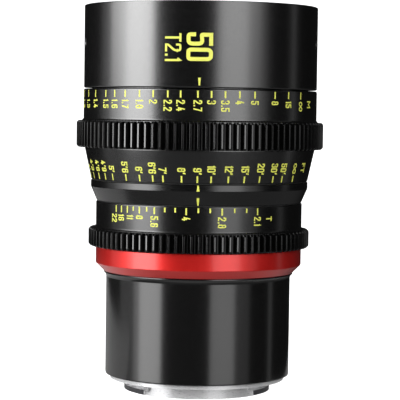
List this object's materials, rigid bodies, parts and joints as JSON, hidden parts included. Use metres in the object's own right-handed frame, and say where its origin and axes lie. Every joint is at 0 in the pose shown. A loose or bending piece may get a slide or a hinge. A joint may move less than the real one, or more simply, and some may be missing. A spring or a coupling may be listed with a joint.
{
  "type": "cinema prime lens",
  "caption": "Manual cinema prime lens with geared focus and iris rings, a sliding optical block driven by a helicoid, a working iris diaphragm and a rear bayonet.",
  "frame": {"origin": "On the optical axis, in the plane of the flange face that meets the camera.", "axes": "+Z along the optical axis to the front of the lens; -Y passes through both index marks; +X completes the right-handed frame."},
  "size_m": [0.0848, 0.0848, 0.1318],
  "materials": {
    "black_anodised": "satin black anodised",
    "gloss_black": "smooth black anodised, semi-gloss",
    "red_anodised": "satin red anodised",
    "flat_black": "matt black anodised",
    "chrome": "satin chrome plate",
    "steel": "plain steel",
    "blade_steel": "thin spring steel, dry black coating",
    "brass": "turned, lightly greased",
    "polymer": "dark, slippery washer stock",
    "scale_paint": "yellow-green paint in the engraved scales",
    "glass": "polished, coated"
  },
  "bodies": {
    "housing": {"main_barrel": "black_anodised", "front_barrel": "black_anodised", "barrel_grub_screws": "steel", "front_baffle_ring": "flat_black", "focus_retaining_ring": "black_anodised", "focus_thrust_washers": "polymer", "focus_stop_block": "black_anodised", "index_ring": "black_anodised", "iris_thrust_washers": "polymer", "red_ring": "red_anodised", "rear_tube": "gloss_black", "tube_screws": "steel", "rear_light_baffle": "flat_black", "mount_shim": "steel", "bayonet_mount": "chrome", "mount_screws": "steel", "mount_stop_screw": "steel"},
    "focus_body": {"focus_ring": "black_anodised", "helicoid_ring": "brass", "focus_bearing_ring": "black_anodised", "focus_stop_pin": "steel"},
    "iris_body": {"iris_ring": "black_anodised", "iris_drive_pin": "steel"},
    "optics": {"optics_barrel": "black_anodised", "helicoid_shoes": "brass", "shoe_screws": "steel", "iris_base_plate": "brass", "iris_retaining_ring": "flat_black", "front_cell": "black_anodised", "front_retaining_ring": "flat_black", "second_retaining_ring": "flat_black", "front_doublet_ring": "flat_black", "rear_cell": "black_anodised", "rear_doublet_ring": "flat_black", "rear_spacer": "flat_black", "rear_retaining_ring": "flat_black", "front_element": "glass", "second_element": "glass", "front_doublet_crown": "glass", "front_doublet_flint": "glass", "rear_doublet_flint": "glass", "rear_doublet_crown": "glass", "seventh_element": "glass", "rear_element": "glass"},
    "rotor": {"iris_rotor": "brass", "iris_fork": "steel"},
    "blade_01": {"iris_blade_01": "blade_steel"},
    "blade_02": {"iris_blade_02": "blade_steel"},
    "blade_03": {"iris_blade_03": "blade_steel"},
    "blade_04": {"iris_blade_04": "blade_steel"},
    "blade_05": {"iris_blade_05": "blade_steel"},
    "blade_06": {"iris_blade_06": "blade_steel"},
    "blade_07": {"iris_blade_07": "blade_steel"},
    "blade_08": {"iris_blade_08": "blade_steel"},
    "blade_09": {"iris_blade_09": "blade_steel"},
    "blade_10": {"iris_blade_10": "blade_steel"},
    "blade_11": {"iris_blade_11": "blade_steel"}
  },
  "joints": [
    {"name": "focus_turn", "type": "hinge", "parent": "housing", "child": "focus_body", "pos_m": [0, 0, 0.08], "axis": [0, 0, 1], "range_deg": [-56.6, 243.4]},
    {"name": "optics_slide", "type": "slide", "parent": "housing", "child": "optics", "axis": [0, 0, 1], "range_m": [-0.00094, 0.00406]},
    {"name": "iris_turn", "type": "hinge", "parent": "housing", "child": "iris_body", "pos_m": [0, 0, 0.053], "axis": [0, 0, 1], "range_deg": [-33.55, 50.35]},
    {"name": "rotor_turn", "type": "hinge", "parent": "optics", "child": "rotor", "pos_m": [0, 0, 0.063], "axis": [0, 0, 1], "range_deg": [-33.56, 50.36]},
    {"name": "blade_01_swing", "type": "hinge", "parent": "optics", "child": "blade_01", "pos_m": [0.02, 0, 0.06], "axis": [0, 0, 1], "range_deg": [-12.82, 19.23]},
    {"name": "blade_02_swing", "type": "hinge", "parent": "optics", "child": "blade_02", "pos_m": [0.01683, 0.01081, 0.06], "axis": [0, 0, 1], "range_deg": [-12.82, 19.23]},
    {"name": "blade_03_swing", "type": "hinge", "parent": "optics", "child": "blade_03", "pos_m": [0.00831, 0.01819, 0.06], "axis": [0, 0, 1], "range_deg": [-12.82, 19.23]},
    {"name": "blade_04_swing", "type": "hinge", "parent": "optics", "child": "blade_04", "pos_m": [-0.00285, 0.0198, 0.06], "axis": [0, 0, 1], "range_deg": [-12.82, 19.23]},
    {"name": "blade_05_swing", "type": "hinge", "parent": "optics", "child": "blade_05", "pos_m": [-0.0131, 0.01511, 0.06], "axis": [0, 0, 1], "range_deg": [-12.82, 19.23]},
    {"name": "blade_06_swing", "type": "hinge", "parent": "optics", "child": "blade_06", "pos_m": [-0.01919, 0.00563, 0.06], "axis": [0, 0, 1], "range_deg": [-12.82, 19.23]},
    {"name": "blade_07_swing", "type": "hinge", "parent": "optics", "child": "blade_07", "pos_m": [-0.01919, -0.00563, 0.06], "axis": [0, 0, 1], "range_deg": [-12.82, 19.23]},
    {"name": "blade_08_swing", "type": "hinge", "parent": "optics", "child": "blade_08", "pos_m": [-0.0131, -0.01511, 0.06], "axis": [0, 0, 1], "range_deg": [-12.82, 19.23]},
    {"name": "blade_09_swing", "type": "hinge", "parent": "optics", "child": "blade_09", "pos_m": [-0.00285, -0.0198, 0.06], "axis": [0, 0, 1], "range_deg": [-12.82, 19.23]},
    {"name": "blade_10_swing", "type": "hinge", "parent": "optics", "child": "blade_10", "pos_m": [0.00831, -0.01819, 0.06], "axis": [0, 0, 1], "range_deg": [-12.82, 19.23]},
    {"name": "blade_11_swing", "type": "hinge", "parent": "optics", "child": "blade_11", "pos_m": [0.01683, -0.01081, 0.06], "axis": [0, 0, 1], "range_deg": [-12.82, 19.23]}
  ],
  "couplings": [
    {"joint": "optics_slide", "follows": "focus_turn", "m_per_rad": 0.00095493},
    {"joint": "rotor_turn", "follows": "iris_turn", "ratio": 1},
    {"joint": "blade_01_swing", "follows": "iris_turn", "ratio": 0.38176},
    {"joint": "blade_02_swing", "follows": "iris_turn", "ratio": 0.38176},
    {"joint": "blade_03_swing", "follows": "iris_turn", "ratio": 0.38176},
    {"joint": "blade_04_swing", "follows": "iris_turn", "ratio": 0.38176},
    {"joint": "blade_05_swing", "follows": "iris_turn", "ratio": 0.38176},
    {"joint": "blade_06_swing", "follows": "iris_turn", "ratio": 0.38176},
    {"joint": "blade_07_swing", "follows": "iris_turn", "ratio": 0.38176},
    {"joint": "blade_08_swing", "follows": "iris_turn", "ratio": 0.38176},
    {"joint": "blade_09_swing", "follows": "iris_turn", "ratio": 0.38176},
    {"joint": "blade_10_swing", "follows": "iris_turn", "ratio": 0.38176},
    {"joint": "blade_11_swing", "follows": "iris_turn", "ratio": 0.38176}
  ]
}
